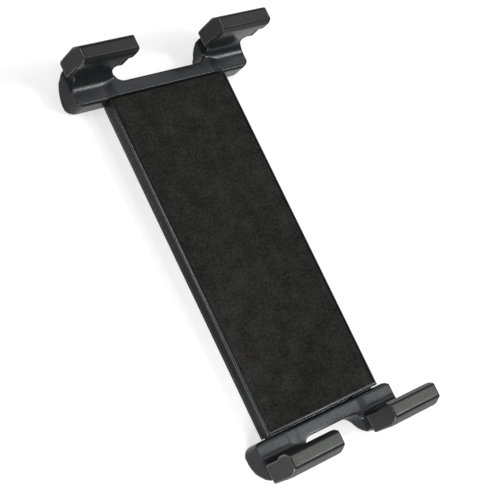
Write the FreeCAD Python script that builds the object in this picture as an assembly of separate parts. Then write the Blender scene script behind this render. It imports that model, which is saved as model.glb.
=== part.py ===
import FreeCAD, Part
import math
import os

# Tablet holder with a sliding, spring-returned lower jaw. Millimetres.
# The holder lies on its flat back. +X goes across it, +Y runs up towards the fixed
# jaw and +Z points out of the padded face. The origin is the mouth of the stand
# thread, in the middle of the back.

Vector = FreeCAD.Vector

# Body
body_length = 142.2
body_half_width = 30.4
body_back_half_width = 27.6
body_thickness = 9.2
parting_height = 3.6
groove_width = 0.5
groove_depth = 0.5
end_wall = 1.8
side_wall = 1.8
back_wall = 1.6
body_edge = 1.2
body_corner = 1.0
rim_edge = 0.75

# Face pad
pad_recess = 1.2
rim_width = 1.25
pad_gap = 0.35
pad_height = 1.3
pad_corner = 1.0
recess_floor = 0.8

# Stand thread, 1/4 inch
thread_radius = 2.6
thread_depth = 6.0
bush_radius = 4.4
bush_length = 6.8
bush_flange_radius = 5.7
bush_flange = 1.3
bush_boss_wall = 2.0

# Jaw arms and heads, shared by both jaws
jaw_wall = 2.0
ear_edge = 1.3
bar_edge = 0.4
bar_set_back = 0.5
bar_rise = 0.8
bar_ramp = 4.5
cover_thickness = 1.6
cover_gap = 0.12
back_edge = 1.0
head_end = 1.6
core_edge = 0.6
neck_inset_outer = 2.4
neck_inset_inner = 2.4
neck_height = 4.3
neck_radius = 2.5
flare_height = 2.5
flare_radius = 1.5
ear_shoulder = 0.4
ear_radius = 1.5
notch_corner = 4.0
bar_back_wall = 1.4
ear_pocket_depth = 6.5
ear_screw_depth = 4.2
pocket_corner = 1.0

# Fixed upper jaw
upper_ear_half = 44.7
upper_back_half = 45.3
upper_ear_corner = 4.8
upper_top = 8.6
upper_bar_depth = 6.2
upper_strip_depth = 4.8
upper_arm_wall = 10.2
upper_arm_outer = 16.2
upper_back_radius = 13.0
upper_head_inner = 21.2
upper_head_outer = 47.7
upper_head_top = 29.6
upper_bar_half = 25.0

# Sliding lower jaw
lower_ear_half = 37.2
lower_back_half = 38.2
lower_ear_corner = 4.4
lower_top = 7.6
lower_bar_depth = 6.2
lower_strip_depth = 5.5
lower_arm_wall = 8.7
lower_arm_outer = 15.3
lower_back_radius = 11.0
lower_head_inner = 13.9
lower_head_outer = 40.3
lower_head_top = 28.2
lower_bar_half = 16.8

# Where the jaws stand at rest, and how far the lower one pulls out
upper_seam = 0.2
lower_gap = 0.3
jaw_travel = 60.0

# Rubber heads, measured from the arm inside them
lip_depth = 1.1
lip_bottom = 6.2
lip_slope = 1.2
chamfer_height = 2.6
chamfer_depth = 1.3
face_depth = 5.3
bulge_depth = 1.4
bulge_height = 4.5
cap_skin = 0.9
cap_height = 15.2
core_cover = 3.0
cap_edge = 0.6
face_edge = 1.5
head_edge = 0.9
bulge_radius = 3.0
head_corner_near = 1.0
head_corner_far = 1.2

# Sliding tongue
tongue_half_width = 16.5
tongue_thickness = 1.8
tongue_height = 3.2
tongue_engaged = 47.0
tongue_tip_corner = 2.0
slide_clearance = 0.3
stop_clearance = 0.4
lug_reach = 6.0
lug_width = 5.0
lug_corner = 1.0
lug_root = 1.0
foot_screw_side = 24.0
foot_screw_head = 1.2
foot_margin = 0.6
foot_corner = 1.0

# Ledges that reach into the sliding jaw's edge when it is shut, so that its seam shows
# no light: one on the back shell, and one on the front shell at each side of the tongue
ledge_reach = 1.2
ledge_thickness = 1.0
ledge_half_width = 25.5
side_ledge_low = 4.8
side_ledge_high = 6.0
side_ledge_inner = 17.5
side_ledge_outer = 28.8

# Glides under the tongue
glide_side = 11.0
glide_width = 3.5
glide_length = 46.0
glide_inset = 1.0
glide_gap = 0.3

# Return springs
spring_radius = 1.7
spring_wire = 0.5
spring_side = 20.3
hook_radius = 1.3
hook_gap = 0.05
pin_radius = 0.8
pin_stand = 1.1
pin_boss_radius = 2.0
pin_boss_height = 1.6
pin_bite = 1.4
pin_edge = 1.3
anchor_from_end = 6.5

# Screws
screw_head_radius = 1.9
screw_head_depth = 1.1
screw_radius = 0.95
screw_slot_width = 0.5
screw_slot_depth = 0.6
screw_slot_share = 0.62
screw_hole_gap = 0.15
screw_boss_radius = 2.1
screw_bite = 0.8
housing_screw_side = 25.0
housing_screw_from_end = 7.0
spigot_screw_side = 14.0
upper_ear_screw_side = 36.0
lower_ear_screw_side = 31.2

# Spigot that the fixed jaw clamps
spigot_half_width = 26.0
spigot_reach = 4.2
spigot_inset = 1.8
spigot_gap = 0.15
spigot_roof_gap = 0.2

# How far a cut runs out past the face it opens, and how deep a joined piece is let in
run_out = 1.0
root = 0.1

# Worked out from the sizes above
body_top = body_length / 2
body_bottom = -body_length / 2
recess_z = body_thickness - pad_recess
roof_z = recess_z - recess_floor
tongue_top = tongue_height + tongue_thickness
boss_radius = bush_radius + bush_boss_wall
fork_half = boss_radius + slide_clearance
lug_bottom = body_bottom + end_wall + stop_clearance + jaw_travel
lug_pin_y = lug_bottom + lug_width - pin_edge
tongue_tip = body_bottom + end_wall + jaw_travel + tongue_engaged
spring_level = tongue_top + spring_wire / 2 + hook_gap
anchor_y = body_top - anchor_from_end
inner_half = body_back_half_width - side_wall
glide_start = body_bottom + end_wall + glide_inset
upper_jaw_y = body_top + upper_seam
lower_jaw_y = body_bottom - lower_gap
spigot_screw_y = upper_jaw_y + spigot_reach / 2
spigot_top = upper_top - cover_thickness - spigot_roof_gap
housing_screws = [
    (sign * housing_screw_side, y)
    for sign in (1, -1)
    for y in (body_bottom + housing_screw_from_end, 0, body_top - housing_screw_from_end)
]


def side_at(height):
    """Half-width of the body's drawn-in side wall at a height above the back."""
    share = height / body_thickness
    return body_back_half_width + (body_half_width - body_back_half_width) * share


def rounded_wire(corners, place):
    """Closed wire through corners (a, b, radius), with each corner rounded by its radius."""
    count = len(corners)
    starts = []
    ends = []
    middles = []
    for index in range(count):
        a, b, radius = corners[index]
        before = corners[index - 1]
        after = corners[(index + 1) % count]
        to_before = Vector(before[0] - a, before[1] - b, 0).normalize()
        to_after = Vector(after[0] - a, after[1] - b, 0).normalize()
        corner = Vector(a, b, 0)
        if radius <= 0:
            starts.append(corner)
            ends.append(corner)
            middles.append(None)
            continue
        half_angle = to_before.getAngle(to_after) / 2
        reach = radius / math.tan(half_angle)
        bisector = (to_before + to_after).normalize()
        centre = corner + bisector * (radius / math.sin(half_angle))
        starts.append(corner + to_before * reach)
        ends.append(corner + to_after * reach)
        middles.append(centre - bisector * radius)
    edges = []
    for index in range(count):
        if middles[index] is not None:
            arc = Part.Arc(place(starts[index]), place(middles[index]), place(ends[index]))
            edges.append(arc.toShape())
        start = ends[index]
        end = starts[(index + 1) % count]
        if (end - start).Length > 1e-6:
            edges.append(Part.LineSegment(place(start), place(end)).toShape())
    return Part.Wire(edges)


def plan_solid(corners, low, high):
    """Outline seen from above, corners (x, y, radius), standing from low to high."""
    wire = rounded_wire(corners, lambda p: Vector(p.x, p.y, low))
    return Part.Face(wire).extrude(Vector(0, 0, high - low))


def side_solid(corners, left, right):
    """Outline seen from the side, corners (y, z, radius), reaching from left to right."""
    wire = rounded_wire(corners, lambda p: Vector(left, p.x, p.y))
    return Part.Face(wire).extrude(Vector(right - left, 0, 0))


def front_solid(corners, near, far):
    """Outline seen along Y, corners (x, z, radius), reaching from near to far."""
    wire = rounded_wire(corners, lambda p: Vector(p.x, near, p.y))
    return Part.Face(wire).extrude(Vector(0, far - near, 0))


def box(low, high):
    """Box between two opposite corners."""
    size = [high[axis] - low[axis] for axis in range(3)]
    return Part.makeBox(size[0], size[1], size[2], Vector(*low))


def post(x, y, low, high, radius):
    """Upright cylinder."""
    return Part.makeCylinder(radius, high - low, Vector(x, y, low))


def both_sides(shape):
    """The shape and its mirror image across the middle plane, as a list."""
    return [shape, shape.mirror(Vector(0, 0, 0), Vector(1, 0, 0))]


def countersunk_screw(x, y, length):
    """Flat-headed screw driven up from the back, with a crossed slot in its head."""
    cone = Part.makeCone(screw_head_radius, screw_radius, screw_head_depth, Vector(x, y, 0))
    screw = cone.fuse(post(x, y, screw_head_depth / 2, length, screw_radius))
    reach = screw_head_radius * screw_slot_share
    half_slot = screw_slot_width / 2
    slots = [
        box((x - reach, y - half_slot, -run_out), (x + reach, y + half_slot, screw_slot_depth)),
        box((x - half_slot, y - reach, -run_out), (x + half_slot, y + reach, screw_slot_depth)),
    ]
    return screw.cut(slots[0].fuse(slots[1]))


def countersink(x, y, length):
    """Clearance for a flat-headed screw, down to its own radius where it bites."""
    cone = Part.makeCone(
        screw_head_radius + screw_hole_gap,
        screw_radius + screw_hole_gap,
        screw_head_depth,
        Vector(x, y, 0),
    )
    return cone.fuse(post(x, y, -run_out, length, screw_radius + screw_hole_gap))


class Jaw:
    """One jaw in its own frame: depth runs out of the body from its inner edge."""

    def __init__(self, side):
        upper = side == "upper"
        self.upper = upper
        self.ear_half = upper_ear_half if upper else lower_ear_half
        self.back_half = upper_back_half if upper else lower_back_half
        self.ear_corner = upper_ear_corner if upper else lower_ear_corner
        self.top = upper_top if upper else lower_top
        self.bar_depth = upper_bar_depth if upper else lower_bar_depth
        self.strip_depth = upper_strip_depth if upper else lower_strip_depth
        self.arm_wall = upper_arm_wall if upper else lower_arm_wall
        self.arm_outer = upper_arm_outer if upper else lower_arm_outer
        self.back_radius = upper_back_radius if upper else lower_back_radius
        self.head_inner = upper_head_inner if upper else lower_head_inner
        self.head_outer = upper_head_outer if upper else lower_head_outer
        self.head_top = upper_head_top if upper else lower_head_top
        self.bar_half = upper_bar_half if upper else lower_bar_half
        self.bar_top = self.top + bar_rise
        self.core_inner = self.head_inner + head_end
        self.core_outer = self.head_outer - head_end
        self.cap_bottom = self.head_top - cap_height
        self.lip_z = self.head_top - lip_bottom
        self.core_top = self.head_top - core_cover
        self.roof = self.top - cover_thickness
        self.screw_length = self.roof + screw_bite
        self.ear_screw_side = upper_ear_screw_side if upper else lower_ear_screw_side

    def place(self, shape):
        """Move a shape from the jaw's own frame to its place at the end of the body."""
        moved = shape.copy()
        if self.upper:
            moved.translate(Vector(0, upper_jaw_y, 0))
        else:
            moved.rotate(Vector(0, 0, 0), Vector(0, 0, 1), 180)
            moved.translate(Vector(0, lower_jaw_y, 0))
        return moved


def jaw_form(jaw):
    """Outer form of a whole jaw without its rubber heads: bar, ears and two arms."""
    profile = side_solid(
        [
            (0, 0, back_edge),
            (0, jaw.top, ear_edge),
            (jaw.arm_wall, jaw.top, jaw.arm_wall - jaw.strip_depth),
            (jaw.arm_wall, jaw.core_top, core_edge),
            (jaw.arm_outer, jaw.core_top, core_edge),
            (jaw.arm_outer, 0, jaw.back_radius),
        ],
        -jaw.head_outer,
        jaw.head_outer,
    )
    neck_z = jaw.top + neck_height
    flare_z = neck_z + flare_height
    right_arm = [
        (jaw.back_half, -run_out, 0),
        (jaw.back_half, 0, 0),
        (jaw.ear_half, jaw.top - ear_shoulder, ear_radius),
        (jaw.ear_half - neck_inset_outer, neck_z, neck_radius),
        (jaw.core_outer, flare_z, flare_radius),
        (jaw.core_outer, jaw.head_top, 0),
        (jaw.core_inner, jaw.head_top, 0),
        (jaw.core_inner, flare_z, flare_radius),
        (jaw.core_inner + neck_inset_inner, neck_z, neck_radius),
        (jaw.core_inner, jaw.top, 0),
    ]
    left_arm = [(-x, z, radius) for x, z, radius in reversed(right_arm)]
    arms = front_solid(right_arm + left_arm, -run_out, jaw.arm_outer + run_out)
    notch = plan_solid(
        [
            (-jaw.core_inner, jaw.bar_depth, notch_corner),
            (jaw.core_inner, jaw.bar_depth, notch_corner),
            (jaw.core_inner, jaw.arm_outer + run_out, 0),
            (-jaw.core_inner, jaw.arm_outer + run_out, 0),
        ],
        -run_out,
        jaw.head_top + run_out,
    )
    corners = plan_solid(
        [
            (-jaw.back_half, 0, jaw.ear_corner),
            (jaw.back_half, 0, jaw.ear_corner),
            (jaw.back_half, jaw.strip_depth, 0),
            (jaw.head_outer, jaw.arm_wall, 0),
            (jaw.head_outer, jaw.arm_outer + run_out, 0),
            (-jaw.head_outer, jaw.arm_outer + run_out, 0),
            (-jaw.head_outer, jaw.arm_wall, 0),
            (-jaw.back_half, jaw.strip_depth, 0),
        ],
        -run_out,
        jaw.head_top + run_out,
    )
    ramp_foot = jaw.bar_half + bar_ramp
    ramps = front_solid(
        [
            (-ramp_foot, back_edge, 0),
            (ramp_foot, back_edge, 0),
            (ramp_foot, jaw.top, 0),
            (jaw.bar_half, jaw.bar_top, 0),
            (-jaw.bar_half, jaw.bar_top, 0),
            (-ramp_foot, jaw.top, 0),
        ],
        0,
        jaw.arm_wall,
    )
    bar = side_solid(
        [
            (bar_set_back, back_edge, 0),
            (bar_set_back, jaw.bar_top, bar_edge),
            (jaw.arm_wall, jaw.bar_top, 0),
            (jaw.arm_wall, back_edge, 0),
        ],
        -ramp_foot,
        ramp_foot,
    )
    form = profile.common(arms).common(corners).fuse(bar.common(ramps))
    return form.cut(notch).removeSplitter()


def grip(jaw, form):
    """Rubber head of the right-hand arm, moulded round the arm's core."""
    face = jaw.arm_wall - lip_depth + chamfer_depth
    block = side_solid(
        [
            (jaw.arm_wall, jaw.cap_bottom, cap_edge),
            (jaw.arm_wall, jaw.lip_z - lip_slope, 0),
            (jaw.arm_wall - lip_depth, jaw.lip_z, 0),
            (jaw.arm_wall - lip_depth, jaw.head_top - chamfer_height, cap_edge),
            (face, jaw.head_top, cap_edge),
            (face + face_depth, jaw.head_top, face_edge),
            (jaw.arm_outer + bulge_depth, jaw.head_top - bulge_height, bulge_radius),
            (jaw.arm_outer + cap_skin, jaw.cap_bottom, cap_edge),
        ],
        jaw.head_inner,
        jaw.head_outer,
    )
    near = jaw.arm_wall - lip_depth
    far = jaw.arm_outer + bulge_depth
    crown = front_solid(
        [
            (jaw.head_inner, 0, 0),
            (jaw.head_inner, jaw.head_top, head_edge),
            (jaw.head_outer, jaw.head_top, head_edge),
            (jaw.head_outer, 0, 0),
        ],
        near,
        far,
    )
    ends = plan_solid(
        [
            (jaw.head_inner, near, head_corner_near),
            (jaw.head_outer, near, head_corner_near),
            (jaw.head_outer, far, head_corner_far),
            (jaw.head_inner, far, head_corner_far),
        ],
        0,
        jaw.head_top + run_out,
    )
    return block.common(ends).common(crown).cut(form)


def pocket_outline(jaw, inset):
    """Outline of the space behind a jaw's face, drawn in by an inset."""
    ear_start = jaw.core_inner + jaw_wall + inset
    ear_end = jaw.ear_half - jaw_wall - inset
    near = jaw_wall + inset
    middle = jaw.bar_depth - bar_back_wall - inset
    far = ear_pocket_depth - inset
    return [
        (-ear_end, near, 0),
        (ear_end, near, 0),
        (ear_end, far, pocket_corner),
        (ear_start, far, pocket_corner),
        (ear_start, middle, 0),
        (-ear_start, middle, 0),
        (-ear_start, far, pocket_corner),
        (-ear_end, far, pocket_corner),
    ]


def jaw_shell(jaw, form):
    """Face of a jaw, hollow behind, with a boss in each ear for the cover's screws."""
    shell = form.cut(plan_solid(pocket_outline(jaw, 0), -run_out, jaw.roof))
    for x in (jaw.ear_screw_side, -jaw.ear_screw_side):
        boss = post(x, ear_screw_depth, cover_thickness, jaw.roof + root, screw_boss_radius)
        shell = shell.fuse(boss)
    return shell


def fasten_cover(jaw, shell, cover, places):
    """Screw holes through cover and shell at each place, and the screws that go there."""
    screws = []
    for x, y in places:
        cover = cover.cut(countersink(x, y, cover_thickness + run_out))
        shell = shell.cut(post(x, y, cover_thickness, jaw.screw_length, screw_radius))
        screws.append(countersunk_screw(x, y, jaw.screw_length))
    return shell, cover, screws


def upper_jaw():
    """Fixed jaw: it clamps the body's spigot between its face and its back cover."""
    jaw = Jaw("upper")
    form = jaw_form(jaw)
    window_half = spigot_half_width + spigot_gap
    window = box((-window_half, -run_out, -run_out), (window_half, jaw_wall + root, jaw.roof))
    shell = jaw_shell(jaw, form).cut(window)
    lip_half = window_half - cover_gap
    lip = box((-lip_half, 0, -run_out), (lip_half, jaw_wall + run_out, cover_thickness))
    cover = plan_solid(pocket_outline(jaw, cover_gap), -run_out, cover_thickness).fuse(lip)
    places = [
        (sign * side, depth)
        for sign in (1, -1)
        for side, depth in (
            (spigot_screw_side, spigot_reach / 2),
            (jaw.ear_screw_side, ear_screw_depth),
        )
    ]
    shell, cover, screws = fasten_cover(jaw, shell, cover.common(form), places)
    return jaw, form, shell, cover, screws


def lower_jaw():
    """Sliding jaw: its face carries the tongue's foot on two bosses behind a cover."""
    jaw = Jaw("lower")
    rebate_half = ledge_half_width + slide_clearance
    rebate_depth = ledge_reach - lower_gap + slide_clearance
    rebate = box(
        (-rebate_half, -run_out, -run_out),
        (rebate_half, rebate_depth, ledge_thickness + slide_clearance),
    )
    form = jaw_form(jaw).cut(rebate)
    for side_rebate in both_sides(
        box(
            (side_ledge_inner - slide_clearance, -run_out, side_ledge_low - slide_clearance),
            (side_ledge_outer + slide_clearance, rebate_depth, side_ledge_high + slide_clearance),
        )
    ):
        form = form.cut(side_rebate)
    shell = jaw_shell(jaw, form)
    for x in (foot_screw_side, -foot_screw_side):
        boss = post(x, ear_screw_depth, tongue_top, jaw.roof + root, screw_boss_radius)
        hole = post(x, ear_screw_depth, tongue_top, jaw.screw_length, screw_radius)
        shell = shell.fuse(boss).cut(hole)
    slot = box(
        (-tongue_half_width, -run_out, tongue_height),
        (tongue_half_width, jaw_wall + root, tongue_top),
    )
    cover = plan_solid(pocket_outline(jaw, cover_gap), -run_out, cover_thickness).common(form)
    places = [(sign * jaw.ear_screw_side, ear_screw_depth) for sign in (1, -1)]
    shell, cover, screws = fasten_cover(jaw, shell.cut(slot), cover, places)
    return jaw, form, shell, cover, screws


def foot_screws(jaw):
    """Two pan-headed screws that hold the tongue's foot up against the lower jaw's face."""
    screws = []
    for x in (foot_screw_side, -foot_screw_side):
        low = tongue_height - foot_screw_head
        head = post(x, ear_screw_depth, low, tongue_height, screw_head_radius)
        shank = post(x, ear_screw_depth, tongue_height, jaw.screw_length, screw_radius)
        reach = screw_head_radius + run_out
        half_slot = screw_slot_width / 2
        slot = box(
            (x - reach, ear_screw_depth - half_slot, low - run_out),
            (x + reach, ear_screw_depth + half_slot, low + screw_slot_depth),
        )
        screws.append(head.fuse(shank).cut(slot))
    return screws


def tongue(jaw):
    """Flat steel tongue in the lower jaw's frame: foot, blade, two legs and two lugs."""
    foot_half = foot_screw_side + screw_boss_radius + foot_margin
    foot_far = ear_pocket_depth - foot_margin
    middle_far = jaw.bar_depth - bar_back_wall - cover_gap
    near = jaw_wall + cover_gap
    ear_start = jaw.core_inner + jaw_wall + cover_gap
    tip = lower_jaw_y - tongue_tip
    foot = plan_solid(
        [
            (-foot_half, near, 0),
            (foot_half, near, 0),
            (foot_half, foot_far, foot_corner),
            (ear_start, foot_far, foot_corner),
            (ear_start, middle_far, 0),
            (-ear_start, middle_far, 0),
            (-ear_start, foot_far, foot_corner),
            (-foot_half, foot_far, foot_corner),
        ],
        tongue_height,
        tongue_top,
    )
    blade = plan_solid(
        [
            (-tongue_half_width, tip, tongue_tip_corner),
            (tongue_half_width, tip, tongue_tip_corner),
            (tongue_half_width, near + root, 0),
            (-tongue_half_width, near + root, 0),
        ],
        tongue_height,
        tongue_top,
    )
    plate = foot.fuse(blade)
    bush_y = lower_jaw_y
    plate = plate.cut(post(0, bush_y, 0, jaw.top, fork_half))
    plate = plate.cut(box((-fork_half, tip - run_out, 0), (fork_half, bush_y, jaw.top)))
    lug_near = lower_jaw_y - lug_bottom
    lug_far = lug_near - lug_width
    lug_half = tongue_half_width + lug_reach
    lug_bar = plan_solid(
        [
            (-lug_half, lug_far, lug_corner),
            (lug_half, lug_far, lug_corner),
            (lug_half, lug_near, lug_corner),
            (-lug_half, lug_near, lug_corner),
        ],
        tongue_height,
        tongue_top,
    )
    root_side = tongue_half_width - lug_root
    between = box(
        (-root_side, lug_far - run_out, 0),
        (root_side, lug_near + run_out, jaw.top),
    )
    plate = plate.fuse(lug_bar.cut(between))
    for sign in (1, -1):
        pin_y = lower_jaw_y - lug_pin_y
        plate = plate.cut(post(sign * spring_side, pin_y, 0, jaw.top, pin_radius))
        plate = plate.cut(post(sign * foot_screw_side, ear_screw_depth, 0, jaw.top, screw_radius))
    return plate.removeSplitter()


def spring(x):
    """Close-wound tension spring along Y, with a loop on its lug pin and its anchor pin."""
    low_loop = lug_pin_y + hook_radius - spring_wire / 2 - pin_radius - hook_gap
    high_loop = anchor_y - hook_radius + spring_wire / 2 + pin_radius + hook_gap
    start = low_loop + hook_radius
    end = high_loop - hook_radius
    along = Vector(0, 1, 0)
    outer = Part.makeCylinder(spring_radius, end - start, Vector(x, start, spring_level), along)
    inner = Part.makeCylinder(
        spring_radius - spring_wire,
        end - start - 2 * spring_wire,
        Vector(x, start + spring_wire, spring_level),
        along,
    )
    shape = outer.cut(inner)
    for y in (low_loop, high_loop):
        loop = Part.makeTorus(hook_radius, spring_wire / 2, Vector(x, y, spring_level))
        shape = shape.fuse(loop)
    return shape


def spring_pins(y, low):
    """Two upright pins that the spring loops hang on."""
    return [
        post(sign * spring_side, y, low, spring_level + pin_stand, pin_radius) for sign in (1, -1)
    ]


def stand_bush():
    """Flanged brass bush with a blind stand thread, let into the back."""
    bush = post(0, 0, 0, bush_length, bush_radius)
    bush = bush.fuse(post(0, 0, bush_length - bush_flange, bush_length, bush_flange_radius))
    return bush.cut(post(0, 0, -run_out, thread_depth, thread_radius))


def body_plan(low, high):
    """Plan outline of the body with its four upright corners rounded."""
    half = body_half_width
    return plan_solid(
        [
            (-half, body_bottom, body_corner),
            (half, body_bottom, body_corner),
            (half, body_top, body_corner),
            (-half, body_top, body_corner),
        ],
        low,
        high,
    )


def tongue_slot():
    """Way out for the tongue through the body's lower end wall."""
    half = tongue_half_width + slide_clearance
    return box(
        (-half, body_bottom - run_out, tongue_height - slide_clearance),
        (half, body_bottom + end_wall + root, tongue_top + slide_clearance),
    )


def body_cavity(low, high):
    """Space inside the two housings between two heights."""
    return box(
        (-inner_half, body_bottom + end_wall, low),
        (inner_half, body_top - end_wall, high),
    )


def glide_strip(sign, low, high):
    """Strip under or over one side of the tongue, between two heights."""
    near = min(sign * glide_side, sign * (glide_side + glide_width))
    return box((near, glide_start, low), (near + glide_width, glide_start + glide_length, high))


def spigot(low, high):
    """Part of the body that reaches into the fixed jaw."""
    return box(
        (-spigot_half_width, body_top - end_wall, low),
        (spigot_half_width, body_top + upper_seam + spigot_reach, high),
    )


def rear_housing():
    """Back shell: screw bosses, bush boss, spring anchors and half of the spigot."""
    groove_z = parting_height - groove_width / 2
    shell = front_solid(
        [
            (-side_at(0), 0, body_edge),
            (side_at(0), 0, body_edge),
            (side_at(groove_z), groove_z, 0),
            (side_at(parting_height) - groove_depth, parting_height, 0),
            (-side_at(parting_height) + groove_depth, parting_height, 0),
            (-side_at(groove_z), groove_z, 0),
        ],
        body_bottom,
        body_top,
    )
    shell = shell.common(body_plan(-run_out, parting_height + run_out))
    shell = shell.cut(body_cavity(back_wall, parting_height + run_out))
    shell = shell.fuse(spigot(spigot_inset, parting_height))
    ledge = box(
        (-ledge_half_width, body_bottom - ledge_reach, 0),
        (ledge_half_width, body_bottom + end_wall, ledge_thickness),
    )
    shell = shell.fuse(ledge)
    shell = shell.fuse(post(0, 0, back_wall / 2, bush_length - bush_flange, boss_radius))
    shell = shell.cut(post(0, 0, -run_out, bush_length, bush_radius))
    for x, y in housing_screws:
        shell = shell.fuse(post(x, y, back_wall / 2, parting_height, screw_boss_radius))
    for x, y in housing_screws:
        shell = shell.cut(countersink(x, y, parting_height + run_out))
    for sign in (1, -1):
        x = sign * spring_side
        boss_top = back_wall + pin_boss_height
        shell = shell.fuse(post(x, anchor_y, back_wall / 2, boss_top, pin_boss_radius))
        pin_hole = post(x, anchor_y, boss_top - pin_bite, boss_top + run_out, pin_radius)
        screw_hole_x = sign * spigot_screw_side
        screw_hole = post(screw_hole_x, spigot_screw_y, 0, parting_height + run_out, screw_radius)
        shell = shell.cut(pin_hole).cut(screw_hole)
    return shell.cut(tongue_slot())


def front_housing():
    """Front shell: tray for the pad, ribs over the tongue and half of the spigot."""
    groove_z = parting_height + groove_width / 2
    shell = front_solid(
        [
            (-side_at(parting_height) + groove_depth, parting_height, 0),
            (side_at(parting_height) - groove_depth, parting_height, 0),
            (side_at(groove_z), groove_z, 0),
            (side_at(body_thickness), body_thickness, rim_edge),
            (-side_at(body_thickness), body_thickness, rim_edge),
            (-side_at(groove_z), groove_z, 0),
        ],
        body_bottom,
        body_top,
    )
    rounded_end = side_solid(
        [
            (body_bottom, 0, 0),
            (body_bottom, body_thickness, rim_edge),
            (body_top, body_thickness, 0),
            (body_top, 0, 0),
        ],
        -body_half_width,
        body_half_width,
    )
    shell = shell.common(body_plan(0, body_thickness + run_out)).common(rounded_end)
    tray_half = body_half_width - rim_width
    tray = box(
        (-tray_half, body_bottom + rim_width, recess_z),
        (tray_half, body_top + run_out, body_thickness + run_out),
    )
    shell = shell.cut(tray).cut(body_cavity(0, roof_z))
    shell = shell.fuse(spigot(parting_height, spigot_top))
    for side_ledge in both_sides(
        box(
            (side_ledge_inner, body_bottom - ledge_reach, side_ledge_low),
            (side_ledge_outer, body_bottom + root, side_ledge_high),
        )
    ):
        shell = shell.fuse(side_ledge)
    high = roof_z + recess_floor / 2
    for sign in (1, -1):
        shell = shell.fuse(glide_strip(sign, tongue_top + glide_gap, high))
        shell = shell.cut(
            post(sign * spigot_screw_side, spigot_screw_y, 0, body_thickness, screw_radius)
        )
    for x, y in housing_screws:
        shell = shell.fuse(post(x, y, parting_height, high, screw_boss_radius))
    for x, y in housing_screws:
        shell = shell.cut(post(x, y, 0, roof_z - screw_bite, screw_radius))
    return shell.cut(tongue_slot())


def glide(sign):
    """Low-friction strip on the back shell that the tongue runs on."""
    return glide_strip(sign, back_wall, tongue_height - glide_gap)


def face_pad():
    """Soft pad in the front shell's tray, up to the fixed jaw's edge."""
    half = body_half_width - rim_width - pad_gap
    low = body_bottom + rim_width + pad_gap
    high = upper_jaw_y
    corners = [
        (-half, low, pad_corner),
        (half, low, pad_corner),
        (half, high, 0),
        (-half, high, 0),
    ]
    return plan_solid(corners, recess_z, recess_z + pad_height)


def save(name, shape):
    """Write one piece, or a list of like solids, as one file."""
    solid = Part.makeCompound(shape) if isinstance(shape, list) else shape
    solid.exportStep("parts/" + name + ".step")


def main():
    os.makedirs("parts", exist_ok=True)
    save("rear_housing", rear_housing())
    save("front_housing", front_housing())
    save("face_pad", face_pad())
    save("stand_bush", stand_bush())
    save("right_glide", glide(1))
    save("left_glide", glide(-1))
    save("right_spring", spring(spring_side))
    save("left_spring", spring(-spring_side))
    anchor_low = back_wall + pin_boss_height - pin_bite
    save("spring_anchor_pins", spring_pins(anchor_y, anchor_low))
    save("spring_lug_pins", spring_pins(lug_pin_y, tongue_height))
    length = roof_z - screw_bite
    save("housing_screws", [countersunk_screw(x, y, length) for x, y in housing_screws])

    jaw, form, shell, cover, screws = upper_jaw()
    right_head, left_head = both_sides(grip(jaw, form))
    save("upper_jaw_front", jaw.place(shell))
    save("upper_jaw_cover", jaw.place(cover))
    save("upper_jaw_screws", [jaw.place(screw) for screw in screws])
    save("upper_right_grip", jaw.place(right_head))
    save("upper_left_grip", jaw.place(left_head))

    jaw, form, shell, cover, screws = lower_jaw()
    right_head, left_head = both_sides(grip(jaw, form))
    save("lower_jaw_front", jaw.place(shell))
    save("lower_jaw_cover", jaw.place(cover))
    save("lower_jaw_screws", [jaw.place(screw) for screw in screws])
    save("lower_left_grip", jaw.place(right_head))
    save("lower_right_grip", jaw.place(left_head))
    save("slide_tongue", jaw.place(tongue(jaw)))
    save("tongue_screws", [jaw.place(screw) for screw in foot_screws(jaw)])


main()
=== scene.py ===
import math

import bmesh
import bpy
import numpy as np
from mathutils import Matrix, Vector


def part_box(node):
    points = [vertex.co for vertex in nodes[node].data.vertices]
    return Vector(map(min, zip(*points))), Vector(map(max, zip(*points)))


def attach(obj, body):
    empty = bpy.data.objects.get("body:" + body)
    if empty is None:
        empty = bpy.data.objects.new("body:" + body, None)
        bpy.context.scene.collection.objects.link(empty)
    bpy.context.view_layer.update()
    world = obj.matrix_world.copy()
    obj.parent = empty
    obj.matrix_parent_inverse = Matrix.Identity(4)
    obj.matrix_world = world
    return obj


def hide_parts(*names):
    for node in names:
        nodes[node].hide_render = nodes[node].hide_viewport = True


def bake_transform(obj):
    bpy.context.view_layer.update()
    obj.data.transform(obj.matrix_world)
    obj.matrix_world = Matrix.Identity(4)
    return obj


MM = 0.001

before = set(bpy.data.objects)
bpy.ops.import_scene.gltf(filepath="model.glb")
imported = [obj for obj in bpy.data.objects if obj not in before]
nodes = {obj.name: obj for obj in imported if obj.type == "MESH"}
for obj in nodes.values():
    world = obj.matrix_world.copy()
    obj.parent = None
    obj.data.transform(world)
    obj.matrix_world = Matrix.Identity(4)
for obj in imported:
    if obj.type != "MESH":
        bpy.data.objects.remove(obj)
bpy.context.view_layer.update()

# ---- camera, solved from the photograph's straight edges ----
SENSOR_WIDTH = 36.0
LENS = 99.95
CAMERA_PLACE = (-0.3433, -0.0713, 0.4251)
CAMERA_BACK = (-0.6322, -0.1263, 0.7645)
CAMERA_RIGHT = (0.729, -0.4313, 0.5316)
CLIP_NEAR, CLIP_FAR = 0.01, 20.0

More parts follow.
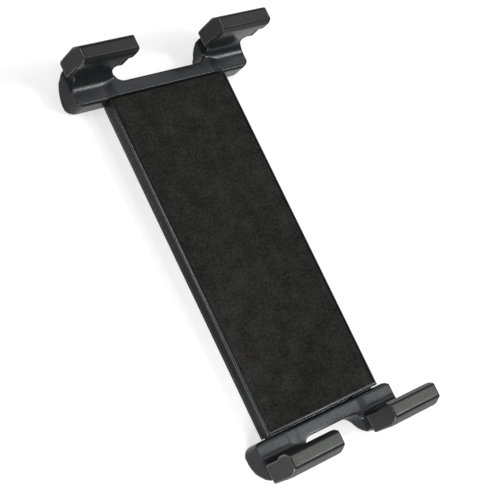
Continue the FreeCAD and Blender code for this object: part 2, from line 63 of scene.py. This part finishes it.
# ---- lights: name, place, aim, size and power in watts ----
LAMPS = (
    ("key", (0.77, -0.29, 0.93), (0.0, -0.03, 0.0), (0.3, 0.3), 8.0),
    ("fill", (0.77, 0.42, 1.0), (0.0, 0.12, 0.0), (0.42, 1.2), 3.5),
    ("edge_light", (-0.52, 0.45, 0.98), (0.0, 0.45, 0.0), (0.65, 0.15), 4.6),
    ("ramp_light", (0.31, -0.06, 1.05), (0.0, -0.06, 0.0), (0.2, 0.18), 1.7),
    ("low_light", (1.0, -0.1, 0.66), (0.0, -0.08, 0.0), (0.3, 0.3), 0.6),
    ("side_light", (-0.15, -0.2, 0.06), (0.0, -0.08, 0.01), (0.1, 0.1), 0.6),
)
WORLD_STRENGTH = 0.14
WORLD_LOW = (0.05, 0.3)
WORLD_HIGH = (0.8, 1.0)
FLOOR_HALF = 6.0
FLOOR_HEIGHT = -0.0004
FLOOR_COLOUR = 0.45
FLOOR_GLOW = 0.62

# ---- colours, and the scales (per metre) and depths (metres) of surface grain ----
PLASTIC = (0.013, 0.0133, 0.014)
RUBBER = (0.0110, 0.0115, 0.0111)
SUEDE = (0.0167, 0.0167, 0.0152)
BRASS = (0.70, 0.48, 0.20)
BRIGHT_STEEL = (0.52, 0.52, 0.53)
BLACKENED_STEEL = (0.08, 0.08, 0.082)
SPRING_WIRE = (0.60, 0.60, 0.60)
BLACK_SCREW = (0.06, 0.06, 0.062)
PALE_PLASTIC = (0.75, 0.74, 0.69)
NEUTRAL_TINT = (1.0, 1.0, 1.0)
COOL_TINT = (0.94, 0.95, 1.0)
GREEN_TINT = (0.97, 1.0, 0.96)
GRAIN_SCALE, GRAIN_DEPTH = 2600.0, 0.00002
RUBBER_GRAIN_SCALE, RUBBER_GRAIN_DEPTH = 1700.0, 0.00004
CLOUD_SCALE, METAL_CLOUD_SCALE = 60.0, 90.0
WEAR_SCALE = 240.0
PILE_SCALE, NAP_SCALE, PATCH_SCALE = 2600.0, 950.0, 150.0
PILE_DEPTH = 0.00014
LINE_DEPTH = 0.00001

# ---- worn edges: turn of the surface where wear starts and is full, in radians per metre ----
WEAR_START, WEAR_FULL = 600.0, 1300.0

# ---- rounding of the pieces ----
WELD_DISTANCE = 1e-6
FLAT_ANGLE = math.radians(1.0)
BEVEL_ANGLE = math.radians(35)
BEVEL_SEGMENTS = 2
SMOOTH_FACTOR, SMOOTH_ROUNDS = 0.5, 5
JAW_VOXEL, HEAD_VOXEL = 0.42, 0.3


# ---- camera ----
def add_camera():
    """Camera at the photograph's place, with its long side as the sensor width."""
    data = bpy.data.cameras.new("camera")
    data.sensor_width = SENSOR_WIDTH
    data.lens = LENS
    data.clip_start = CLIP_NEAR
    data.clip_end = CLIP_FAR
    camera = bpy.data.objects.new("camera", data)
    back = Vector(CAMERA_BACK).normalized()
    right = Vector(CAMERA_RIGHT)
    right = (right - back * right.dot(back)).normalized()
    up = back.cross(right)
    turn = Matrix((right, up, back)).transposed().to_4x4()
    camera.matrix_world = Matrix.Translation(CAMERA_PLACE) @ turn
    bpy.context.scene.collection.objects.link(camera)
    bpy.context.scene.camera = camera


# ---- materials ----
class Paint:
    """Small helper round a material's node tree."""

    def __init__(self, name):
        self.material = bpy.data.materials.new(name)
        self.material.use_nodes = True
        self.tree = self.material.node_tree
        self.shader = self.tree.nodes["Principled BSDF"]
        coords = self.tree.nodes.new("ShaderNodeTexCoord")
        self.coords = coords.outputs["Object"]
        self.lean = coords.outputs["Normal"]

    def node(self, kind, inputs=None, **settings):
        made = self.tree.nodes.new(kind)
        for key, value in settings.items():
            setattr(made, key, value)
        for key, value in (inputs or {}).items():
            if isinstance(value, bpy.types.NodeSocket):
                self.tree.links.new(value, made.inputs[key])
            else:
                made.inputs[key].default_value = value
        return made

    def noise(self, scale, detail=3.0, rough=0.55, stretch=None):
        vector = self.coords
        if stretch:
            mapping = self.node("ShaderNodeMapping", {"Vector": vector, "Scale": stretch})
            vector = mapping.outputs["Vector"]
        inputs = {"Vector": vector, "Scale": scale, "Detail": detail, "Roughness": rough}
        return self.node("ShaderNodeTexNoise", inputs).outputs["Fac"]

    def blend(self, share, first, second):
        inputs = {"Factor": share, "A": first, "B": second}
        return self.node("ShaderNodeMix", inputs, data_type="FLOAT").outputs["Result"]

    def span(self, value, low, high, to_low, to_high):
        inputs = {
            "Value": value,
            "From Min": low,
            "From Max": high,
            "To Min": to_low,
            "To Max": to_high,
        }
        return self.node("ShaderNodeMapRange", inputs).outputs["Result"]

    def ramp(self, value, stops):
        made = self.node("ShaderNodeValToRGB", {"Fac": value})
        elements = made.color_ramp.elements
        while len(elements) < len(stops):
            elements.new(0.5)
        for element, (place, colour) in zip(elements, stops):
            element.position = place
            element.color = (*colour, 1.0)
        return made.outputs["Color"]

    def level(self, value, stops):
        """Ramp of plain numbers."""
        return self.ramp(value, [(place, (number,) * 3) for place, number in stops])

    def bump(self, height, strength, distance):
        inputs = {"Height": height, "Strength": strength, "Distance": distance}
        return self.node("ShaderNodeBump", inputs).outputs["Normal"]

    def set(self, **values):
        for key, value in values.items():
            socket = self.shader.inputs[key.replace("_", " ")]
            if isinstance(value, bpy.types.NodeSocket):
                self.tree.links.new(value, socket)
            else:
                socket.default_value = value
        return self.material


def tone(colour, factor):
    return tuple(min(1.0, part * factor) for part in colour)


def moulded(
    name,
    colour,
    rough,
    grain=GRAIN_SCALE,
    depth=GRAIN_DEPTH,
    specular=0.5,
    polish=0.0,
    walls=0.0,
    tint=NEUTRAL_TINT,
):
    """Moulded plastic or rubber: fine grain, faint cloudiness and edges polished by handling.
    The specular level is polish on worn edges, and walls on side walls that lean under."""
    paint = Paint(name)
    cloud = paint.noise(CLOUD_SCALE, 4.0)
    fine = paint.noise(grain, 2.0, 0.6)
    base = paint.ramp(cloud, [(0.3, tone(colour, 0.86)), (0.7, tone(colour, 1.14))])
    wear = paint.noise(WEAR_SCALE, 5.0, 0.7)
    level = specular
    if walls:
        # the upward lean of a face runs from 0, down, over 0.5, sideways, to 1, up
        upward = paint.node("ShaderNodeSeparateXYZ", {"Vector": paint.lean}).outputs["Z"]
        stops = [(0.38, walls), (0.5, specular), (0.62, polish), (0.97, polish), (0.995, specular)]
        level = paint.level(paint.span(upward, -1.0, 1.0, 0.0, 1.0), stops)
    elif polish:
        edge = paint.node("ShaderNodeAttribute", attribute_name="worn_edge").outputs["Fac"]
        level = paint.level(edge, [(0.0, 0.4 * specular), (0.5, specular), (1.0, polish)])
    return paint.set(
        Base_Color=base,
        Roughness=paint.span(wear, 0.35, 0.75, rough - 0.05, rough + 0.06),
        Normal=paint.bump(fine, 0.5, depth),
        Specular_IOR_Level=level,
        Specular_Tint=(*tint, 1.0),
    )


def suede(name, colour):
    """Short-napped foam sheet: mottled nap, fine pile, faint brushed patches and a light bloom."""
    paint = Paint(name)
    pile = paint.noise(PILE_SCALE, 2.0, 0.7)
    nap = paint.noise(NAP_SCALE, 3.0, 0.6)
    patch = paint.noise(PATCH_SCALE, 4.0, 0.6)
    fibres = paint.blend(0.35, nap, pile)
    shade = paint.blend(0.3, fibres, patch)
    stops = [(0.36, tone(colour, 0.3)), (0.5, colour), (0.64, tone(colour, 1.85))]
    return paint.set(
        Base_Color=paint.ramp(shade, stops),
        Roughness=0.96,
        Normal=paint.bump(fibres, 0.8, PILE_DEPTH),
        Specular_IOR_Level=0.05,
        Sheen_Weight=0.02,
        Sheen_Roughness=0.5,
    )


def metal(name, colour, rough, stretch=(40.0, 1.0, 40.0), grain=90.0):
    """Drawn, turned or brushed metal with fine lines and uneven polish."""
    paint = Paint(name)
    lines = paint.noise(grain, 5.0, 0.6, stretch)
    cloud = paint.noise(METAL_CLOUD_SCALE, 4.0)
    return paint.set(
        Base_Color=paint.ramp(cloud, [(0.3, tone(colour, 0.85)), (0.7, tone(colour, 1.1))]),
        Roughness=paint.span(lines, 0.3, 0.7, rough - 0.08, rough + 0.1),
        Normal=paint.bump(lines, 0.25, LINE_DEPTH),
        Metallic=1.0,
    )


shell_finish = {"specular": 0.25, "polish": 1.0, "tint": COOL_TINT}
housing_paint = moulded("housing_plastic", PLASTIC, 0.27, walls=0.007, **shell_finish)
back_paint = moulded("back_plastic", PLASTIC, 0.25, walls=0.02, **shell_finish)
jaw_paint = moulded("jaw_plastic", PLASTIC, 0.28, specular=0.225, polish=0.5, tint=COOL_TINT)
grip_paint = moulded(
    "grip_rubber",
    RUBBER,
    0.32,
    grain=RUBBER_GRAIN_SCALE,
    depth=RUBBER_GRAIN_DEPTH,
    specular=0.19,
    polish=0.8,
    tint=GREEN_TINT,
)
pad_paint = suede("pad_suede", SUEDE)
brass_paint = metal("bush_brass", BRASS, 0.3)
steel_paint = metal("pin_steel", BRIGHT_STEEL, 0.34)
tongue_paint = metal("tongue_steel", BLACKENED_STEEL, 0.4)
wire_paint = metal("spring_wire", SPRING_WIRE, 0.28, stretch=(1.0, 1.0, 1.0), grain=400.0)
black_paint = metal("screw_black", BLACK_SCREW, 0.38, stretch=(1.0, 1.0, 1.0), grain=300.0)
glide_paint = moulded("glide_plastic", PALE_PLASTIC, 0.45)


# ---- building pieces ----
def paint_object(piece, material):
    piece.data.materials.clear()
    piece.data.materials.append(material)
    for face in piece.data.polygons:
        face.material_index = 0


def shade_smooth(mesh):
    mesh.polygons.foreach_set("use_smooth", [True] * len(mesh.polygons))


def add_mesh(name, points, faces, material):
    """New smooth-shaded piece from points in millimetres."""
    mesh = bpy.data.meshes.new(name)
    mesh.from_pydata([tuple(MM * c for c in p) for p in points], [], faces)
    mesh.validate()
    piece = bpy.data.objects.new(name, mesh)
    bpy.context.scene.collection.objects.link(piece)
    shade_smooth(mesh)
    paint_object(piece, material)
    return piece


def evaluated_copy(source, name, modifiers):
    """New piece whose mesh is the source's with the given modifiers worked in."""
    piece = bpy.data.objects.new(name, source.data.copy())
    bpy.context.scene.collection.objects.link(piece)
    for kind, settings in modifiers:
        added = piece.modifiers.new(kind.lower(), kind)
        for key, value in settings.items():
            setattr(added, key, value)
    graph = bpy.context.evaluated_depsgraph_get()
    mesh = bpy.data.meshes.new_from_object(piece.evaluated_get(graph))
    piece.modifiers.clear()
    piece.data = mesh
    return piece


def mark_worn_edges(mesh, inward):
    """Store how worn a shell's points are: 0.5 plain, more on sharp end edges, less on the inner
    long edges, which the tablet covers. The inner side looks along +Y or -Y, as inward says."""
    count = len(mesh.vertices)
    places = np.empty(count * 3)
    mesh.vertices.foreach_get("co", places)
    places = places.reshape(-1, 3)
    normals = np.empty(count * 3)
    mesh.vertices.foreach_get("normal", normals)
    normals = normals.reshape(-1, 3)
    ends = np.empty(len(mesh.edges) * 2, dtype=np.int32)
    mesh.edges.foreach_get("vertices", ends)
    first, second = ends.reshape(-1, 2).T
    step = places[second] - places[first]
    turn = ((normals[second] - normals[first]) * step).sum(1) / (step * step).sum(1)
    bend = np.zeros(count)
    np.maximum.at(bend, first, turn)
    np.maximum.at(bend, second, turn)
    edge = np.clip((bend - WEAR_START) / (WEAR_FULL - WEAR_START), 0.0, 1.0)
    at_end = np.clip((np.abs(normals[:, 0]) - 0.15) / 0.2, 0.0, 1.0)
    inner = np.clip((inward * normals[:, 1] - 0.1) / 0.2, 0.0, 1.0) * (1.0 - at_end)
    layer = mesh.attributes.new("worn_edge", "FLOAT", "POINT")
    layer.data.foreach_set("value", 0.5 + 0.5 * edge * (at_end - inner))


def soft_shell(node, name, body, material, voxel):
    """Moulded shell with rounded edges, standing for a CAD node of the same form."""
    steps = [
        ("WELD", {"merge_threshold": WELD_DISTANCE}),
        ("REMESH", {"mode": "VOXEL", "voxel_size": voxel * MM, "adaptivity": 0.0}),
        ("SMOOTH", {"factor": SMOOTH_FACTOR, "iterations": SMOOTH_ROUNDS}),
    ]
    piece = evaluated_copy(nodes[node], name, steps)
    shade_smooth(piece.data)
    mark_worn_edges(piece.data, 1 if body == "sliding_jaw" else -1)
    paint_object(piece, material)
    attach(piece, body)
    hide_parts(node)


def crisp(node, material, width):
    """CAD node that stays, with its sharp edges broken and a better material."""
    piece = nodes[node]
    paint_object(piece, material)
    weld = piece.modifiers.new("weld", "WELD")
    weld.merge_threshold = WELD_DISTANCE
    flat = piece.modifiers.new("flat", "DECIMATE")
    flat.decimate_type = "DISSOLVE"
    flat.angle_limit = FLAT_ANGLE
    bevel = piece.modifiers.new("bevel", "BEVEL")
    bevel.width = width * MM
    bevel.segments = BEVEL_SEGMENTS
    bevel.limit_method = "ANGLE"
    bevel.angle_limit = BEVEL_ANGLE
    bevel.harden_normals = True
    shade_smooth(piece.data)


# ---- face pad ----
def face_pad():
    """Foam sheet with a napped face, its edges rolled down and its middle a little full."""
    low, high = (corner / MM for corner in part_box("face_pad"))
    roll = 0.55
    crown = 0.16
    corner = 1.0
    cell = 1.2
    full_reach = 9.0
    edge_steps = [0.0, 0.06, 0.18, 0.36, 0.6, 1.0]
    edge = edge_steps[-1]

    def places(start, end):
        """Grid lines between two edges, close together beside the edges."""
        middle = end - start - 2 * edge
        count = int(middle / cell)
        inner = [start + edge + middle * k / count for k in range(1, count)]
        return [start + e for e in edge_steps] + inner + [end - e for e in reversed(edge_steps)]

    xs = places(low.x, high.x)
    ys = places(low.y, high.y)
    centre_x = (low.x + high.x) / 2
    points = []
    for y in ys:
        for x in xs:
            reach_x = min(x - low.x, high.x - x)
            reach_y = min(y - low.y, high.y - y)
            short = max(0.0, 1.0 - min(reach_x, reach_y) / roll)
            drop = roll * (1.0 - math.sqrt(max(0.0, 1.0 - short * short)))
            full = min(1.0, reach_x / full_reach) * min(1.0, reach_y / full_reach)
            lift = crown * (full * (2.0 - full) - 1.0)
            # the two lower corners are drawn in from square to round
            px, py = x, y
            dx = max(0.0, abs(x - centre_x) - (high.x - centre_x - corner))
            dy = max(0.0, low.y + corner - y)
            if dx > 0 and dy > 0:
                scale = max(dx, dy) / math.hypot(dx, dy)
                px = centre_x + math.copysign(high.x - centre_x - corner + dx * scale, x - centre_x)
                py = low.y + corner - dy * scale
            points.append((px, py, high.z - drop + lift))
    across = len(xs)
    along = len(ys)
    faces = []
    for j in range(along - 1):
        for i in range(across - 1):
            a = j * across + i
            faces.append((a, a + 1, a + 1 + across, a + across))
    ring = list(range(across))
    ring += [j * across + across - 1 for j in range(1, along)]
    ring += [(along - 1) * across + i for i in range(across - 2, -1, -1)]
    ring += [j * across for j in range(along - 2, 0, -1)]
    base = len(points)
    points += [(points[index][0], points[index][1], low.z) for index in ring]
    count = len(ring)
    for k in range(count):
        n = (k + 1) % count
        faces.append((ring[k], base + k, base + n, ring[n]))
    faces.append(tuple(base + k for k in reversed(range(count))))
    pad = add_mesh("face_pad_nap", points, faces, pad_paint)
    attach(pad, "holder")
    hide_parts("face_pad")


# ---- springs and thread ----
def tube(points, radius, sides=8):
    """Tube of a radius round a path of points, closed at both ends."""
    path = [Vector(p) for p in points]
    verts = []
    faces = []
    tangent = (path[1] - path[0]).normalized()
    across = tangent.orthogonal().normalized()
    for index, point in enumerate(path):
        nearby = path[min(index + 1, len(path) - 1)] - path[max(index - 1, 0)]
        tangent = nearby.normalized()
        across = (across - tangent * across.dot(tangent)).normalized()
        up = tangent.cross(across)
        for k in range(sides):
            angle = 2 * math.pi * k / sides
            verts.append(point + (across * math.cos(angle) + up * math.sin(angle)) * radius)
    for index in range(len(path) - 1):
        for k in range(sides):
            a = index * sides + k
            b = index * sides + (k + 1) % sides
            faces.append((a, b, b + sides, a + sides))
    faces.append(tuple(reversed(range(sides))))
    last = (len(path) - 1) * sides
    faces.append(tuple(last + k for k in range(sides)))
    return verts, faces


def return_spring(node, name):
    """Close-wound coil with a loop at each end; it stretches between the two bodies."""
    low, high = (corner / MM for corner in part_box(node))
    wire = 0.24
    clearance = 0.02
    loop_inset = 0.2
    pitch = 2.15 * wire
    per_turn = 12
    per_loop = 18
    x = (low.x + high.x) / 2
    z = (low.z + high.z) / 2
    coil = (high.x - low.x) / 2 - wire - clearance
    loop = coil - loop_inset
    reach = loop + wire + clearance
    first = low.y + 2 * reach
    last = high.y - 2 * reach
    steps = int((last - first) / pitch) * per_turn

    def end_loop(centre, start, sweep):
        """Points of an end loop, from a start angle over a sweep, in degrees."""
        angles = [math.radians(start + sweep * k / per_loop) for k in range(per_loop + 1)]
        return [(x + loop * math.sin(a), centre - loop * math.cos(a), z) for a in angles]

    points = end_loop(low.y + reach, 280, 340)
    for k in range(steps + 1):
        angle = 2 * math.pi * k / per_turn
        y = first + (last - first) * k / steps
        points.append((x + coil * math.sin(angle), y, z + coil * math.cos(angle)))
    points += end_loop(high.y - reach, -60, 320)
    verts, faces = tube(points, wire)
    piece = add_mesh(name, verts, faces, wire_paint)
    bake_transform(piece)
    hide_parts(node)


def mark_edges(piece, degrees):
    """Keep edges sharper than an angle crisp on a smooth-shaded mesh."""
    mesh = bmesh.new()
    mesh.from_mesh(piece.data)
    bmesh.ops.recalc_face_normals(mesh, faces=mesh.faces)
    limit = math.radians(degrees)
    for edge in mesh.edges:
        edge.smooth = edge.calc_face_angle(0.0) < limit
    mesh.to_mesh(piece.data)
    mesh.free()


def threaded_bush():
    """Turned brass bush with a real helical thread in its blind hole."""
    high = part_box("stand_bush")[1] / MM
    minor = 2.62
    major = 3.18
    pitch = 1.27
    depth = 5.9
    outer = 4.4
    flange = high.x
    flange_start = high.z - 1.3
    broken = 0.15
    mouth = 0.2
    entry_depth = 0.5
    tip = 0.01
    sides = 48
    steps = 74
    outside = (
        (tip, high.z),
        (flange - broken, high.z),
        (flange, high.z - broken),
        (flange, flange_start + broken),
        (flange - broken, flange_start),
        (outer, flange_start),
        (outer, mouth),
        (outer - mouth, 0.0),
        (major + 0.25, 0.0),
    )
    rings = [[place] * sides for place in outside]
    for k in range(steps + 1):
        z = depth * k / steps
        entry = minor + (major + mouth - minor) * max(0.0, 1.0 - z / entry_depth)
        ring = []
        for s in range(sides):
            phase = (z / pitch + s / sides) % 1.0
            tooth = min(1.0, max(0.0, 1.25 * abs(2 * phase - 1) - 0.12))
            ring.append((max(minor + (major - minor) * tooth, entry), z))
        rings.append(ring)
    rings.append([(minor - 0.3, depth + 0.08)] * sides)
    rings.append([(tip, depth + 0.1)] * sides)
    points = []
    for ring in rings:
        for s, (radius, z) in enumerate(ring):
            angle = 2 * math.pi * s / sides
            points.append((radius * math.cos(angle), radius * math.sin(angle), z))
    faces = []
    for r in range(len(rings) - 1):
        for s in range(sides):
            n = (s + 1) % sides
            a = r * sides
            faces.append((a + s, a + n, a + sides + n, a + sides + s))
    piece = add_mesh("stand_bush_turned", points, faces, brass_paint)
    mark_edges(piece, 40)
    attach(piece, "holder")
    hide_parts("stand_bush")


# ---- surroundings ----
def add_floor():
    """Flat pale floor that the object lies on, seen as white and keeping the object's shadow."""
    mesh = bpy.data.meshes.new("floor")
    corners = [(-1, -1), (1, -1), (1, 1), (-1, 1)]
    points = [(FLOOR_HALF * x, FLOOR_HALF * y, 0) for x, y in corners]
    mesh.from_pydata(points, [], [(0, 1, 2, 3)])
    floor = bpy.data.objects.new("floor", mesh)
    floor.location.z = FLOOR_HEIGHT
    bpy.context.scene.collection.objects.link(floor)
    material = bpy.data.materials.new("floor_white")
    material.use_nodes = True
    tree = material.node_tree
    tree.nodes.clear()
    out = tree.nodes.new("ShaderNodeOutputMaterial")
    diffuse = tree.nodes.new("ShaderNodeBsdfDiffuse")
    diffuse.inputs["Color"].default_value = (FLOOR_COLOUR, FLOOR_COLOUR, FLOOR_COLOUR, 1.0)
    glow = tree.nodes.new("ShaderNodeEmission")
    glow.inputs["Color"].default_value = (1.0, 1.0, 1.0, 1.0)
    glow.inputs["Strength"].default_value = FLOOR_GLOW
    add = tree.nodes.new("ShaderNodeAddShader")
    path = tree.nodes.new("ShaderNodeLightPath")
    mirrored = tree.nodes.new("ShaderNodeMath")
    mirrored.operation = "MAXIMUM"
    seen = tree.nodes.new("ShaderNodeMath")
    seen.operation = "MAXIMUM"
    mix = tree.nodes.new("ShaderNodeMixShader")
    tree.links.new(diffuse.outputs[0], add.inputs[0])
    tree.links.new(glow.outputs[0], add.inputs[1])
    tree.links.new(path.outputs["Is Glossy Ray"], mirrored.inputs[0])
    tree.links.new(path.outputs["Is Transmission Ray"], mirrored.inputs[1])
    tree.links.new(path.outputs["Is Camera Ray"], seen.inputs[0])
    tree.links.new(mirrored.outputs[0], seen.inputs[1])
    tree.links.new(seen.outputs[0], mix.inputs[0])
    tree.links.new(diffuse.outputs[0], mix.inputs[1])
    tree.links.new(add.outputs[0], mix.inputs[2])
    tree.links.new(mix.outputs[0], out.inputs["Surface"])
    mesh.materials.append(material)


def add_world():
    """Soft sky of a studio: dim near the floor and lighter overhead."""
    world = bpy.data.worlds.new("studio")
    world.use_nodes = True
    tree = world.node_tree
    background = tree.nodes["Background"]
    coords = tree.nodes.new("ShaderNodeTexCoord")
    split = tree.nodes.new("ShaderNodeSeparateXYZ")
    ramp = tree.nodes.new("ShaderNodeValToRGB")
    tree.links.new(coords.outputs["Generated"], split.inputs[0])
    tree.links.new(split.outputs["Z"], ramp.inputs["Fac"])
    tree.links.new(ramp.outputs["Color"], background.inputs["Color"])
    for element, (place, grey) in zip(ramp.color_ramp.elements, (WORLD_LOW, WORLD_HIGH)):
        element.position = place
        element.color = (grey, grey, grey, 1.0)
    background.inputs["Strength"].default_value = WORLD_STRENGTH
    bpy.context.scene.world = world


def add_area(name, place, target, size, power):
    """Lamp that the camera doesn't see itself."""
    data = bpy.data.lights.new(name, "AREA")
    data.shape = "RECTANGLE"
    data.size, data.size_y = size
    data.energy = power
    lamp = bpy.data.objects.new(name, data)
    lamp.visible_camera = False
    lamp.location = place
    aim = Vector(target) - Vector(place)
    lamp.rotation_mode = "QUATERNION"
    lamp.rotation_quaternion = aim.to_track_quat("-Z", "Y")
    bpy.context.scene.collection.objects.link(lamp)


add_camera()
add_floor()
add_world()
for lamp in LAMPS:
    add_area(*lamp)

face_pad()
return_spring("left_spring", "left_spring_coil")
return_spring("right_spring", "right_spring_coil")
threaded_bush()

for end, body in (("upper", "holder"), ("lower", "sliding_jaw")):
    soft_shell(f"{end}_jaw_front", f"{end}_jaw_shell", body, jaw_paint, JAW_VOXEL)
for side in ("left", "right"):
    for end, body in (("upper", "holder"), ("lower", "sliding_jaw")):
        soft_shell(f"{end}_{side}_grip", f"{end}_{side}_head", body, grip_paint, HEAD_VOXEL)

# CAD nodes that stay, each with the width of its broken edges in millimetres
for node, paint, width in (
    ("rear_housing", back_paint, 0.22),
    ("front_housing", housing_paint, 0.22),
    ("upper_jaw_cover", jaw_paint, 0.2),
    ("lower_jaw_cover", jaw_paint, 0.2),
    ("slide_tongue", tongue_paint, 0.15),
    ("left_glide", glide_paint, 0.15),
    ("right_glide", glide_paint, 0.15),
    ("spring_anchor_pins", steel_paint, 0.15),
    ("spring_lug_pins", steel_paint, 0.15),
    ("housing_screws", black_paint, 0.08),
    ("upper_jaw_screws", black_paint, 0.08),
    ("lower_jaw_screws", black_paint, 0.08),
    ("tongue_screws", black_paint, 0.08),
):
    crisp(node, paint, width)

bpy.context.scene.view_settings.view_transform = "Standard"
